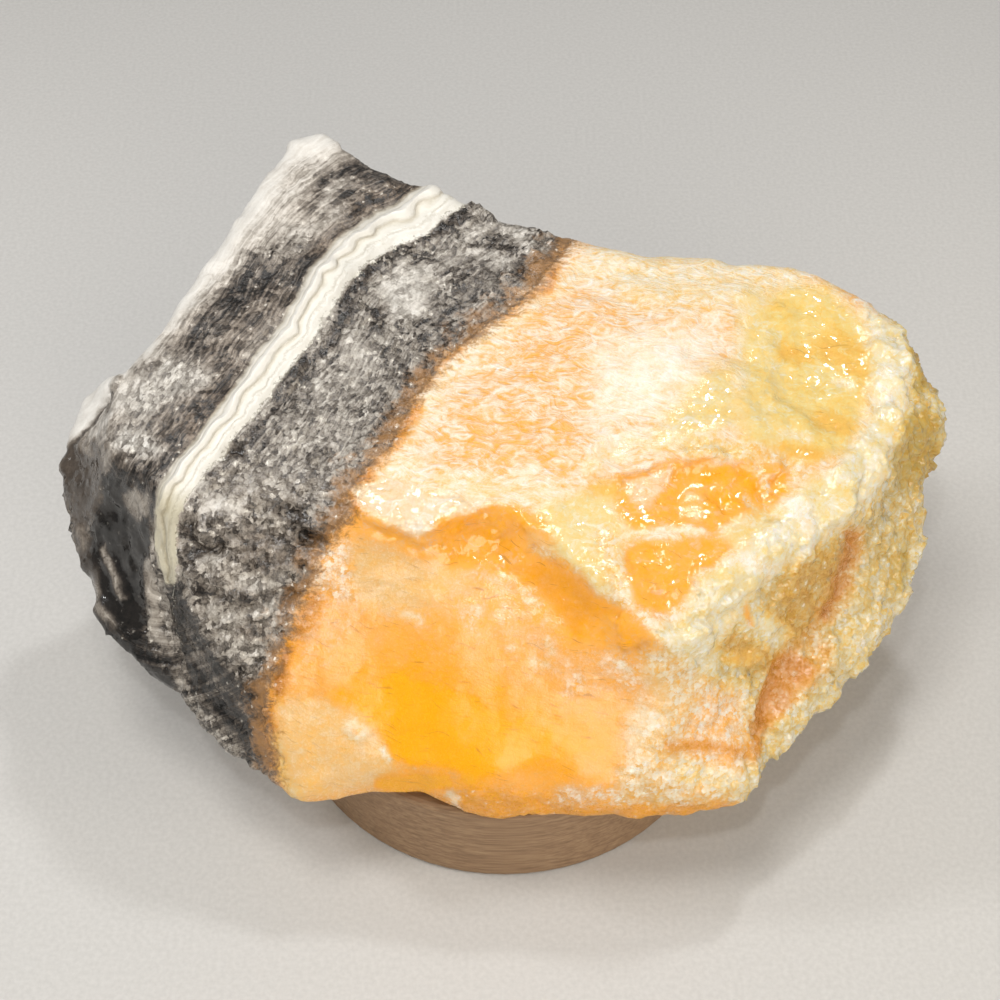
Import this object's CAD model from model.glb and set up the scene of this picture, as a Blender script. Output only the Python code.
"""Looks of the calcite specimen: a broken block of banded calcite lying on a turned wooden stand.

Sizes are in millimetres until a mesh, lamp or camera is made. Bands and patches of the stone are placed by
where they lie in the reference view's picture, and run through the stone from there, as bands do in real
calcite.
"""

import math
from itertools import product

import bpy
import numpy as np
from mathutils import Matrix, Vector


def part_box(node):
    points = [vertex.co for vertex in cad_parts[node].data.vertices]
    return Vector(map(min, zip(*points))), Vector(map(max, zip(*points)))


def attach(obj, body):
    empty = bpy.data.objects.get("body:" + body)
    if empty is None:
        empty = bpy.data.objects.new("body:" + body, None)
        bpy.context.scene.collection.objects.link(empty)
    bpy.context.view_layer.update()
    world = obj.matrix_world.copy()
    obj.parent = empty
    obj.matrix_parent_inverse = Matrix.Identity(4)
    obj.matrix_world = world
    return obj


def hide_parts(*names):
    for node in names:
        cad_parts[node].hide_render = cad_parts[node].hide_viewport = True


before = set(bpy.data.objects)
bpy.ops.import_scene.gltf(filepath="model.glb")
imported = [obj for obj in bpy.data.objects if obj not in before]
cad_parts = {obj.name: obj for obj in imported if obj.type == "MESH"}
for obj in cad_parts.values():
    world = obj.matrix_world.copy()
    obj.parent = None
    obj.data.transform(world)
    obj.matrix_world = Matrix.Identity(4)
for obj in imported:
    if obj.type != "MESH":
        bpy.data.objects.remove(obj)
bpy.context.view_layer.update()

MM = 0.001

# The reference view: it looks along +Y and down, and its picture is a square of PICTURE_SIDE units, some 4.5
# of them to a millimetre of the stone.
VIEW_TARGET = np.array([-1.0, 63.0, 0.0])
VIEW_ELEVATION = math.radians(48)
VIEW_DISTANCE = 523.0
VIEW_ANGLE = math.radians(28)
TO_CAMERA = np.array([0.0, -math.cos(VIEW_ELEVATION), math.sin(VIEW_ELEVATION)])
PICTURE_UP = np.array([0.0, math.sin(VIEW_ELEVATION), math.cos(VIEW_ELEVATION)])
NEAREST_SEEN = 10.0
FARTHEST_SEEN = 20000.0
PICTURE_SIDE = 1000.0
UNITS_PER_MM = 4.5

# The stone's mesh: how finely it is taken, and how many passes wear the coarse solid's edges off it. Each
# pass smooths and then swells back, so that the peak and the rims keep their places.
WELD_DISTANCE = 0.01
SURFACE_GRAIN = 0.92
WEAR_PASSES = 20
WEAR_IN = 0.5
WEAR_OUT = -0.53

# Traces in the reference picture, each the line along which a sheet through the stone meets its surface.
# The white vein, from the back of the top over the left ridge to its point on the dark end.
VEIN_TRACE = [
    (560, 105), (470, 180), (434, 201), (414, 218), (386, 231), (361, 247), (343, 262), (328, 280), (318, 298),
    (306, 316), (297, 334), (282, 351), (269, 366), (260, 382), (248, 398), (233, 415), (219, 434), (205, 453),
    (191, 471), (176, 491), (168, 512), (166, 540), (170, 562), (172, 580),
]
# How far along the vein, in millimetres, and its half width there.
VEIN_HALF_WIDTHS = [(0, 4.5), (54, 4.3), (80, 3.8), (100, 3.5), (123, 3.5), (130, 2.8), (138, 2.0), (143, 1.0)]
# Where the grey banded end meets the orange stone.
ORANGE_TRACE = [
    (640, 150), (580, 232), (562, 252), (540, 280), (505, 312), (470, 336), (440, 362), (424, 386), (404, 416),
    (392, 440), (370, 464), (346, 492), (352, 512), (336, 530), (320, 552), (306, 590), (290, 618), (282, 648),
    (270, 680), (262, 712), (268, 740), (276, 780), (262, 840),
]
# The brow, over which the peach top drops to the waxy front.
BROW_TRACE = [
    (200, 400), (345, 506), (362, 516), (384, 528), (420, 540), (436, 528), (446, 516), (470, 506), (500, 502),
    (520, 514), (540, 540), (566, 562), (590, 584), (630, 612), (664, 644), (680, 690), (676, 760), (690, 860),
]
# The ridge between the top and the crusted right side.
CRUST_TRACE = [
    (820, 230), (890, 318), (904, 352), (908, 382), (902, 420), (888, 460), (866, 500), (842, 530),
    (804, 552), (772, 576), (746, 602), (716, 640), (700, 680), (672, 720), (656, 760), (640, 860),
]


def on_picture(places):
    """Where places on the stone lie in the reference picture."""
    away = places - (VIEW_TARGET + TO_CAMERA * VIEW_DISTANCE)
    scale = PICTURE_SIDE / 2 / math.tan(VIEW_ANGLE / 2) / (-away @ TO_CAMERA)
    middle = PICTURE_SIDE / 2
    return np.stack([middle + away[:, 0] * scale, middle - (away @ PICTURE_UP) * scale], axis=1)


def smooth_step(low, high, value):
    share = np.clip((value - low) / (high - low), 0.0, 1.0)
    return share * share * (3 - 2 * share)


def mix(first, second, share):
    return first * (1 - share) + second * share


# What the noise and the tilted flats are drawn from: random directions, and an order to pick them in.
DRAWN = 256
RANDOM = np.random.default_rng(seed=5)
DIRECTIONS = RANDOM.normal(size=(DRAWN, 3))
DIRECTIONS /= np.linalg.norm(DIRECTIONS, axis=1)[:, None]
SHUFFLED = RANDOM.permutation(DRAWN)
# How high the noise stands, how far a flat's middle lies from its cell's, and how far on its tilt is picked.
NOISE_HEIGHT = 1.5
FLAT_SPREAD = 0.45
FLAT_TURN = 97
# Each step of a wander, and each axis of it, takes its noise from elsewhere.
STEP_SHIFT = 17.0
AXIS_SHIFT = 41.0
# Farther than any distance here, and how long a stroke of a single point is, in the picture.
FAR = 1e9
DOT_LENGTH = 0.01


def cell_number(cells):
    """A number for each cell of a grid, by which its direction is picked."""
    number = SHUFFLED[cells[:, 0] % DRAWN]
    number = SHUFFLED[(number + cells[:, 1]) % DRAWN]
    return SHUFFLED[(number + cells[:, 2]) % DRAWN]


def noise_at(places, size, shift=0.0, octaves=1):
    """Smooth noise, about -1 to 1, with features of that size in millimetres."""
    height = np.zeros(len(places))
    for octave in range(octaves):
        at = places / size * 2 ** octave + shift
        cells = np.floor(at).astype(int)
        inside = at - cells
        fade = inside ** 3 * (inside * (inside * 6 - 15) + 10)
        for corner in product((0, 1), repeat=3):
            slope = ((inside - corner) * DIRECTIONS[cell_number(cells + corner)]).sum(axis=1)
            height += slope * np.where(corner, fade, 1 - fade).prod(axis=1) * NOISE_HEIGHT / 2 ** octave
    return height


def tilted_flats(places, size, shift=0.0):
    """Height of a patchwork of tilted flats, one for each cleaved crystal of that size in millimetres."""
    at = places / size + shift
    cells = np.floor(at).astype(int)
    nearest = np.full(len(places), FAR)
    heights = np.zeros(len(places))
    for step in product((-1, 0, 1), repeat=3):
        number = cell_number(cells + step)
        away = at - (cells + step + 0.5 + DIRECTIONS[number] * FLAT_SPREAD)
        distance = (away ** 2).sum(axis=1)
        nearer = distance < nearest
        nearest = np.where(nearer, distance, nearest)
        tilt = DIRECTIONS[(number + FLAT_TURN) % DRAWN]
        heights = np.where(nearer, (away * tilt).sum(axis=1), heights)
    return heights * size


def along_trace(trace, spots):
    """How far spots lie to the right of a trace that runs down the picture, and how far along it, in mm."""
    nearest = np.full(len(spots), FAR)
    side = np.zeros(len(spots))
    run_at = np.zeros(len(spots))
    run_before = 0.0
    points = np.array(trace, float)
    for start, end in zip(points[:-1], points[1:]):
        run = end - start
        length = math.hypot(*run)
        share = np.clip((spots - start) @ run / length ** 2, 0.0, 1.0)
        away = spots - (start + share[:, None] * run)
        distance = np.hypot(away[:, 0], away[:, 1])
        turn = run[0] * away[:, 1] - run[1] * away[:, 0]
        nearer = distance < nearest
        nearest = np.where(nearer, distance, nearest)
        side = np.where(nearer, np.where(turn < 0, distance, -distance), side)
        run_at = np.where(nearer, run_before + share * length, run_at)
        run_before += length
    return side / UNITS_PER_MM, run_at / UNITS_PER_MM


def distance_from(line, spots, closed):
    """Distance in mm from a line in the picture, or from a closed line's outline, negative inside it."""
    points = np.array(line, float)
    if len(points) == 1:
        points = np.vstack([points, points + DOT_LENGTH])
    ends = np.roll(points, -1, axis=0) if closed else points[1:]
    nearest = np.full(len(spots), FAR)
    inside = np.zeros(len(spots), bool)
    for start, end in zip(points, ends):
        run = end - start
        share = np.clip((spots - start) @ run / (run @ run), 0.0, 1.0)
        away = spots - (start + share[:, None] * run)
        nearest = np.minimum(nearest, np.hypot(away[:, 0], away[:, 1]))
        if closed and run[1] != 0:
            crosses = (start[1] > spots[:, 1]) != (end[1] > spots[:, 1])
            inside ^= crosses & (spots[:, 0] < start[0] + run[0] * (spots[:, 1] - start[1]) / run[1])
    return np.where(inside, -nearest, nearest) / UNITS_PER_MM


def share_inside(spots, width, softness, line):
    """1 in a stroke of that half width along a line, or with width 0 in the closed outline; 0 far off."""
    distance = distance_from(line, spots, closed=width == 0) - width
    return 1 - smooth_step(-softness / 2, softness / 2, distance)


# What each finish is like, as shares from 0 to 1. In the grey end, tone runs from black to white and brown
# warms it. In the orange stone, cream runs from clear orange to white crust, yellow turns it to honey and deep
# to rust. Grain is coarse crystal, fibre is hair-like streaks, wet is gloss. The last three are relief:
# rounded lumps in millimetres, and the slopes of small chips and of larger flats.
PROPERTIES = ("tone", "brown", "cream", "yellow", "deep", "grain", "fibre", "wet", "lumps", "chips", "flats")
FINISHES = {
    "grey_crystal": (0.5, 0.14, 0.6, 0.0, 0.0, 0.7, 0.7, 0.55, 0.32, 0.42, 0.14),
    "charcoal": (0.26, 0.3, 0.4, 0.0, 0.5, 0.7, 0.3, 0.6, 0.35, 0.42, 0.14),
    "brown_grey": (0.42, 0.55, 0.5, 0.0, 0.2, 0.5, 0.7, 0.4, 0.15, 0.12, 0.04),
    "dark_streak": (0.26, 0.4, 0.4, 0.0, 0.3, 0.5, 0.8, 0.4, 0.2, 0.12, 0.04),
    "brown_streak": (0.35, 0.85, 0.4, 0.0, 0.5, 0.5, 0.7, 0.4, 0.15, 0.1, 0.04),
    "pale_fibres": (0.8, 0.22, 0.9, 0.3, 0.0, 0.3, 0.8, 0.15, 0.1, 0.05, 0.03),
    "white_edge": (0.92, 0.02, 1.0, 0.2, 0.0, 0.06, 0.25, 0.25, 0.1, 0.03, 0.03),
    "frost": (0.66, 0.0, 0.98, 0.2, 0.0, 0.6, 0.4, 0.35, 0.2, 0.18, 0.04),
    "cloud": (0.84, 0.06, 0.95, 0.2, 0.0, 0.35, 0.3, 0.35, 0.22, 0.14, 0.04),
    "shoulder": (0.54, 0.22, 0.6, 0.1, 0.0, 0.75, 0.1, 0.65, 0.6, 0.8, 0.24),
    "shoulder_dark": (0.28, 0.35, 0.4, 0.0, 0.4, 0.5, 0.1, 0.65, 0.6, 0.7, 0.24),
    "shoulder_brown": (0.4, 0.6, 0.4, 0.0, 0.4, 0.5, 0.1, 0.6, 0.6, 0.5, 0.24),
    "dark_end": (0.06, 0.1, 0.3, 0.0, 0.9, 0.06, 0.0, 0.8, 0.2, 0.1, 0.08),
    "dark_face": (0.17, 0.22, 0.3, 0.0, 0.8, 0.35, 0.5, 0.7, 0.4, 0.26, 0.12),
    "smoky_lip": (0.3, 0.6, 0.4, 0.3, 0.4, 0.05, 0.0, 0.9, 0.3, 0.1, 0.05),
    "ash": (0.64, 0.25, 0.6, 0.0, 0.1, 0.15, 0.5, 0.5, 0.2, 0.1, 0.06),
    "ivory_vein": (0.9, 0.02, 0.95, 0.0, 0.0, 0.06, 0.1, 0.35, 0.1, 0.04, 0.02),
    "peach_fibre": (0.6, 0.5, 0.63, 0.1, 0.0, 0.12, 1.0, 0.25, 0.16, 0.05, 0.03),
    "orange_fibre": (0.6, 0.5, 0.5, 0.03, 0.0, 0.12, 1.0, 0.25, 0.16, 0.05, 0.03),
    "cream_fibre": (0.8, 0.2, 0.74, 0.6, 0.0, 0.15, 0.8, 0.25, 0.16, 0.06, 0.03),
    "white_cloud": (0.9, 0.1, 0.84, 0.25, 0.0, 0.12, 0.5, 0.25, 0.12, 0.04, 0.03),
    "grey_glass": (0.75, 0.2, 0.74, 0.6, 0.05, 0.2, 0.1, 0.8, 0.2, 0.06, 0.1),
    "honey": (0.6, 0.5, 0.5, 1.0, 0.0, 0.15, 0.0, 0.95, 0.5, 0.1, 0.0),
    "pale_honey": (0.6, 0.4, 0.6, 0.9, 0.0, 0.15, 0.0, 0.95, 0.45, 0.08, 0.0),
    "amber_honey": (0.5, 0.5, 0.26, 0.75, 0.0, 0.12, 0.0, 0.95, 0.45, 0.1, 0.0),
    "clear_orange": (0.5, 0.5, 0.27, 0.05, 0.0, 0.08, 0.04, 0.9, 0.3, 0.12, 0.16),
    "amber_orange": (0.5, 0.5, 0.15, 0.0, 0.05, 0.08, 0.04, 0.9, 0.2, 0.08, 0.16),
    "orange_wax": (0.5, 0.5, 0.34, 0.0, 0.0, 0.06, 0.1, 0.62, 0.12, 0.03, 0.02),
    "warm_wax": (0.5, 0.5, 0.22, 0.0, 0.0, 0.06, 0.1, 0.62, 0.12, 0.03, 0.02),
    "pale_wax": (0.6, 0.5, 0.5, 0.4, 0.04, 0.08, 0.1, 0.62, 0.12, 0.03, 0.02),
    "deep_orange": (0.5, 0.5, 0.2, 0.0, 0.2, 0.08, 0.1, 0.7, 0.14, 0.04, 0.04),
    "glow": (0.5, 0.5, -0.3, 0.0, 0.0, 0.02, 0.1, 0.62, 0.1, 0.02, 0.02),
    "peach_wax": (0.6, 0.5, 0.42, 0.02, 0.0, 0.12, 0.1, 0.62, 0.14, 0.04, 0.02),
    "peach_glass": (0.7, 0.4, 0.6, 0.05, 0.0, 0.1, 0.1, 0.85, 0.15, 0.05, 0.08),
    "peach_frost": (0.8, 0.3, 0.66, 0.1, 0.08, 0.5, 0.2, 0.6, 0.25, 0.14, 0.06),
    "white_frost": (0.9, 0.2, 0.9, 0.55, 0.0, 0.35, 0.2, 0.4, 0.25, 0.14, 0.06),
    "cream_frost": (0.8, 0.3, 0.66, 0.5, 0.16, 0.55, 0.3, 0.75, 0.3, 0.2, 0.06),
    "lip_glass": (0.8, 0.3, 0.72, 0.35, 0.1, 0.12, 0.05, 0.98, 0.5, 0.14, 0.08),
    "white_crust": (0.9, 0.1, 0.78, 0.9, 0.0, 0.28, 0.2, 0.9, 0.3, 0.16, 0.3),
    "beige_crust": (0.7, 0.86, 0.66, 1.0, 0.2, 0.55, 0.2, 0.88, 0.4, 0.36, 0.2),
    "pale_crust": (0.8, 0.84, 0.74, 0.95, 0.12, 0.55, 0.2, 0.88, 0.4, 0.32, 0.2),
    "gold_crust": (0.6, 0.86, 0.38, 0.9, 0.22, 0.5, 0.2, 0.88, 0.5, 0.38, 0.1),
    "pink_crust": (0.6, 0.5, 0.48, 0.0, 0.65, 0.4, 0.2, 0.8, 0.5, 0.3, 0.1),
    "rust": (0.5, 0.7, 0.34, 0.0, 0.8, 0.4, 0.3, 0.55, 0.4, 0.22, 0.1),
    "orange_rust": (0.5, 0.7, 0.24, 0.0, 0.6, 0.4, 0.3, 0.6, 0.4, 0.22, 0.1),
    "dark_rust": (0.4, 0.8, 0.18, 0.0, 0.95, 0.5, 0.3, 0.5, 0.4, 0.22, 0.1),
    "olive_glass": (0.5, 0.95, 0.45, 1.0, 0.0, 0.35, 0.1, 0.95, 0.5, 0.36, 0.25),
    "fringe": (0.5, 0.5, 0.24, 0.05, 0.2, 0.4, 0.5, 0.5, 0.3, 0.14, 0.08),
}

# Where the finishes lie, the later over the earlier. Each entry is a finish, the half width of its stroke in
# millimetres or 0 for a filled outline, the softness of its edge in millimetres, how much of it is laid on,
# and the stroke or outline in the reference picture.
GREY_PAINT = [
    # Left of the vein: brown-grey, brushed with cream and white towards the rim.
    ("brown_grey", 0, 2, 1.0, [
        (430, 120), (418, 196), (340, 240), (294, 293), (265, 336), (232, 388), (190, 447), (155, 480),
        (90, 470), (60, 480), (60, 380), (200, 240), (280, 120),
    ]),
    ("pale_fibres", 0, 5, 0.95, [
        (262, 150), (340, 140), (352, 158), (322, 180), (300, 206), (290, 238), (256, 260), (228, 288),
        (204, 312), (178, 340), (150, 362), (120, 375), (120, 340), (210, 220),
    ]),
    ("white_edge", 0, 3, 1.0, [
        (280, 110), (330, 110), (350, 146), (318, 154), (288, 170), (268, 206), (246, 236), (214, 276),
        (184, 312), (150, 352), (122, 384), (110, 370), (200, 230),
    ]),
    ("dark_streak", 1.7, 2.0, 0.95, [(384, 172), (362, 168), (342, 174), (324, 184)]),
    ("dark_streak", 1.2, 1.6, 0.7, [(352, 186), (334, 194), (316, 208)]),
    ("brown_streak", 1.8, 1.8, 1.0, [(420, 186), (386, 198), (358, 210), (338, 228), (318, 246), (300, 264)]),
    ("cloud", 1.0, 2.0, 0.7, [(350, 180), (332, 188), (322, 200)]),
    ("cloud", 2.6, 4.0, 0.7, [(338, 214), (314, 224), (296, 236)]),
    ("grey_crystal", 2.0, 3.0, 0.7, [(300, 246), (270, 254), (240, 268)]),
    ("dark_streak", 2.4, 2.2, 1.0, [
        (302, 264), (288, 276), (262, 274), (242, 292), (222, 308), (206, 330), (194, 346),
    ]),
    ("dark_streak", 1.0, 1.4, 0.8, [(256, 258), (248, 266), (236, 280)]),
    ("brown_grey", 4.5, 3.0, 0.9, [(280, 300), (252, 328), (228, 360), (214, 396)]),
    ("cloud", 1.0, 1.6, 0.5, [(270, 324), (258, 340), (244, 356)]),
    ("dark_streak", 1.2, 1.4, 0.8, [(196, 336), (188, 352), (182, 366)]),
    ("frost", 0, 4, 0.9, [
        (138, 378), (160, 352), (190, 358), (216, 376), (214, 392), (188, 400), (168, 408), (150, 424),
        (128, 420), (118, 404),
    ]),
    ("frost", 0, 3, 1.0, [
        (106, 436), (122, 426), (152, 430), (168, 446), (160, 458), (138, 464), (116, 452),
    ]),
    ("brown_grey", 0, 3, 0.75, [(160, 404), (196, 400), (184, 424), (168, 440), (152, 430)]),
    ("brown_streak", 3.6, 2.4, 0.95, [(222, 396), (210, 410), (198, 426), (188, 444)]),
    ("dark_streak", 1.6, 2.0, 0.8, [(180, 440), (172, 456), (158, 470)]),
    ("cloud", 0, 2.5, 0.8, [
        (124, 384), (140, 376), (128, 404), (110, 430), (92, 446), (80, 440), (100, 412),
    ]),
    # The white flange at the far left, and the crack behind it.
    ("white_edge", 0, 1.0, 1.0, [
        (148, 336), (120, 374), (98, 386), (78, 402), (62, 430), (54, 466), (70, 464), (77, 440), (96, 418),
        (110, 402), (122, 386), (150, 346),
    ]),
    ("charcoal", 0.4, 0.8, 0.9, [(122, 382), (104, 408), (86, 430), (78, 440), (73, 460)]),
    # Right of the vein: a dark fringe of crystals, then grey with pale clouds.
    ("charcoal", 1.7, 1.6, 1.0, [
        (470, 200), (450, 222), (437, 232), (415, 240), (388, 253), (370, 266), (358, 280), (352, 300),
        (340, 322), (330, 346),
    ]),
    ("charcoal", 0.9, 1.2, 0.8, [(330, 346), (306, 362), (288, 380), (280, 402), (262, 424), (248, 440)]),
    ("shoulder_dark", 1.9, 1.4, 1.0, [(226, 452), (238, 450)]),
    ("shoulder_dark", 1.3, 1.2, 0.9, [(214, 474), (216, 482)]),
    ("cloud", 0, 3.0, 1.0, [
        (380, 284), (404, 270), (430, 268), (436, 288), (418, 316), (396, 320), (378, 304),
    ]),
    ("frost", 2.2, 2.0, 0.8, [(394, 302), (410, 288), (428, 284)]),
    ("cloud", 1.2, 2.5, 0.55, [(424, 272), (452, 260), (486, 256), (516, 262)]),
    ("cloud", 1.2, 2.5, 0.6, [(470, 232), (500, 226), (520, 236)]),
    ("cloud", 3.0, 5.0, 0.5, [(350, 342), (364, 356), (352, 380)]),
    ("cloud", 2.4, 5.0, 0.3, [(320, 398), (336, 424), (352, 440)]),
    ("charcoal", 1.4, 2.0, 0.7, [(380, 306), (374, 326)]),
    ("charcoal", 3.2, 5.0, 0.35, [(470, 276), (440, 290), (452, 310), (420, 340)]),
    ("charcoal", 1.8, 2.2, 0.9, [(408, 384), (406, 400), (396, 416), (384, 434)]),
    ("charcoal", 2.2, 2.4, 0.8, [(520, 270), (534, 262)]),
    ("charcoal", 1.6, 2.4, 0.6, [(496, 240), (512, 250)]),
    ("charcoal", 1.2, 2.0, 0.6, [(450, 345), (430, 362), (420, 376)]),
    ("charcoal", 2.0, 3.0, 0.5, [(300, 372), (296, 392)]),
    ("brown_streak", 1.4, 1.8, 0.9, [(565, 240), (552, 262), (540, 270)]),
    # The shoulder: coarse crystals with dark hollows.
    ("shoulder", 0, 6, 1.0, [
        (206, 478), (250, 470), (345, 470), (350, 520), (330, 560), (304, 600), (288, 640), (268, 700),
        (240, 700), (214, 652), (194, 612), (182, 580), (176, 540), (190, 500),
    ]),
    ("cloud", 2.5, 4.0, 0.25, [(236, 474), (276, 480), (320, 484)]),
    ("frost", 1.6, 1.4, 0.9, [(192, 474), (204, 486)]),
    ("cloud", 1.6, 2.0, 0.8, [(206, 508), (214, 500), (236, 506)]),
    ("shoulder_dark", 1.9, 1.6, 1.0, [(188, 526), (194, 542), (190, 554)]),
    ("shoulder_dark", 1.2, 1.4, 0.9, [(198, 552), (216, 546), (232, 534)]),
    ("shoulder_dark", 1.9, 1.8, 0.95, [(284, 508), (296, 520)]),
    ("shoulder_dark", 2.2, 1.8, 0.9, [(302, 534), (318, 546), (306, 556)]),
    ("shoulder_brown", 4.0, 4.0, 0.8, [(256, 550), (276, 562), (290, 556)]),
    ("shoulder_dark", 1.3, 1.6, 0.8, [(200, 588), (210, 592)]),
    ("shoulder_dark", 1.8, 1.8, 0.85, [(284, 604), (292, 592)]),
    ("shoulder_dark", 1.2, 1.6, 0.7, [(250, 598), (236, 590)]),
    ("frost", 1.4, 1.8, 0.8, [(202, 566), (214, 560)]),
    ("frost", 1.4, 1.8, 0.8, [(246, 578), (262, 584), (284, 576)]),
    ("frost", 1.8, 3.0, 0.6, [(216, 612), (236, 624), (232, 644), (256, 652), (276, 650)]),
    ("frost", 1.4, 1.6, 0.9, [(262, 612), (274, 606)]),
    ("shoulder_brown", 1.2, 1.6, 0.8, [(256, 628), (240, 632)]),
    ("frost", 1.0, 1.2, 0.9, [(290, 628), (306, 640), (318, 644)]),
    # The dark face under the shoulder.
    ("dark_face", 0, 2.0, 1.0, [
        (170, 574), (182, 590), (196, 622), (212, 650), (232, 678), (262, 690), (272, 730), (292, 780),
        (262, 770), (234, 740), (200, 706), (184, 682), (178, 652), (168, 612),
    ]),
    ("ash", 0.5, 1.2, 0.5, [(186, 628), (200, 660), (218, 690)]),
    ("ash", 0.4, 1.2, 0.5, [(206, 664), (226, 690), (248, 716)]),
    ("ash", 0.5, 1.2, 0.45, [(198, 694), (222, 722), (240, 742)]),
    # The black end, with ashy ribbons and a smoky clear lip.
    ("dark_end", 0, 1.6, 1.0, [
        (102, 452), (120, 466), (152, 480), (156, 500), (152, 546), (146, 600), (144, 640), (178, 690),
        (120, 700), (60, 660), (70, 560), (92, 530), (98, 500),
    ]),
    ("dark_streak", 3.0, 3.0, 0.7, [(112, 470), (136, 474), (150, 486)]),
    ("ash", 0, 1.2, 0.95, [(125, 494), (138, 488), (150, 500), (150, 516), (138, 520), (128, 508)]),
    ("ash", 0.6, 0.8, 0.9, [(102, 548), (110, 566), (119, 584), (127, 598)]),
    ("ash", 1.3, 1.4, 0.9, [(92, 582), (92, 604), (104, 616), (116, 626)]),
    ("ash", 0.9, 0.6, 1.0, [(150, 562), (152, 590), (156, 624), (166, 652), (180, 682)]),
    ("ash", 0.5, 1.0, 0.7, [(160, 578), (166, 610), (174, 642), (186, 676)]),
    ("dark_face", 2.5, 2.0, 0.8, [(112, 632), (136, 640), (150, 656), (166, 668)]),
    ("smoky_lip", 0, 1.2, 1.0, [
        (76, 440), (94, 436), (102, 462), (98, 498), (92, 526), (76, 530), (62, 500), (62, 460),
    ]),
    ("ash", 0.9, 1.0, 0.8, [(84, 444), (90, 452)]),
    ("ash", 1.2, 1.4, 0.8, [(106, 452), (108, 470)]),
    ("smoky_lip", 1.8, 1.4, 0.8, [(80, 530), (84, 556), (92, 574)]),
    ("ash", 0.7, 1.0, 0.6, [(82, 528), (84, 546)]),
    ("brown_grey", 2.2, 2.0, 0.7, [(164, 500), (164, 530), (168, 560)]),
]
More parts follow.
